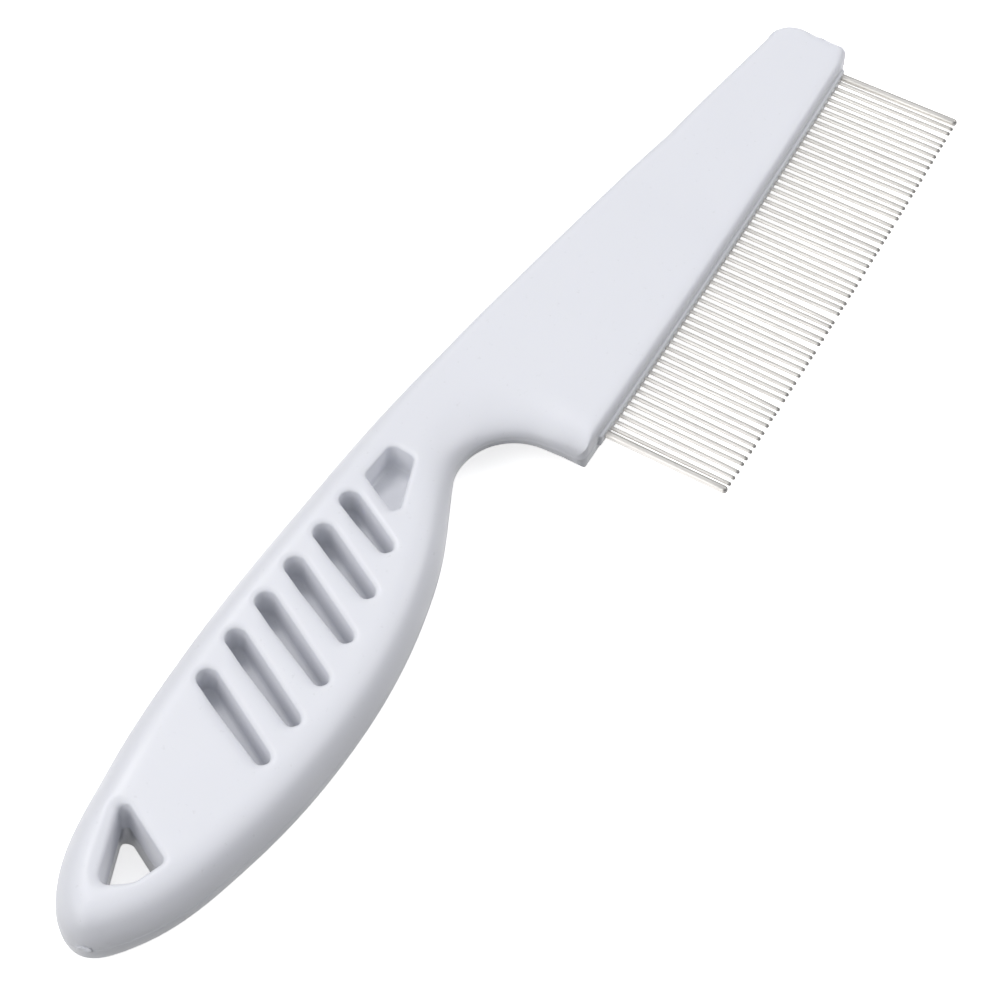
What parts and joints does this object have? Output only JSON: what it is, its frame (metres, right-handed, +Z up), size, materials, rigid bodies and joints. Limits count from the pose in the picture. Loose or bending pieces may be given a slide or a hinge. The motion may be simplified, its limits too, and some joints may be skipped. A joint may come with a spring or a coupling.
{
  "type": "flea comb",
  "caption": "Flea comb with a curved grip, slanted finger recesses and a hanging hole, and a fine row of straight steel pins set along the front of its head.",
  "frame": {"origin": "bottom centre of the bounding box, with the comb lying flat on one face", "axes": "+X from the end of the handle to the tip of the head; the pins point to -Y; +Z is up, across the comb's thickness"},
  "size_m": [0.1744, 0.0472, 0.0104],
  "materials": {
    "white_plastic": "gloss moulded white",
    "bar_plastic": "satin moulded white",
    "pin_steel": "bright drawn wire, tips rounded"
  },
  "bodies": {
    "root": {"guard_pin_neck": "pin_steel", "guard_pin_tip": "pin_steel", "handle": "white_plastic", "pin_01": "pin_steel", "pin_02": "pin_steel", "pin_03": "pin_steel", "pin_04": "pin_steel", "pin_05": "pin_steel", "pin_06": "pin_steel", "pin_09": "pin_steel", "pin_10": "pin_steel", "pin_11": "pin_steel", "pin_12": "pin_steel", "pin_13": "pin_steel", "pin_14": "pin_steel", "pin_15": "pin_steel", "pin_16": "pin_steel", "pin_17": "pin_steel", "pin_18": "pin_steel", "pin_19": "pin_steel", "pin_20": "pin_steel", "pin_21": "pin_steel", "pin_24": "pin_steel", "pin_25": "pin_steel", "pin_26": "pin_steel", "pin_27": "pin_steel", "pin_28": "pin_steel", "pin_29": "pin_steel", "pin_30": "pin_steel", "pin_31": "pin_steel", "pin_32": "pin_steel", "pin_33": "pin_steel", "pin_34": "pin_steel", "pin_35": "pin_steel", "pin_36": "pin_steel", "pin_39": "pin_steel", "pin_40": "pin_steel", "pin_41": "pin_steel", "pin_42": "pin_steel", "pin_43": "pin_steel", "pin_44": "pin_steel", "pin_45": "pin_steel", "pin_46": "pin_steel", "pin_47": "pin_steel", "pin_48": "pin_steel", "pin_49": "pin_steel", "pin_50": "pin_steel", "pin_51": "pin_steel", "pin_54": "pin_steel", "pin_55": "pin_steel", "pin_56": "pin_steel", "pin_57": "pin_steel", "pin_58": "pin_steel", "pin_59": "pin_steel", "pin_60": "pin_steel", "pin_bar": "bar_plastic", "pin_pair_07_08": "pin_steel", "pin_pair_22_23": "pin_steel", "pin_pair_37_38": "pin_steel", "pin_pair_52_53": "pin_steel"}
  },
  "joints": []
}
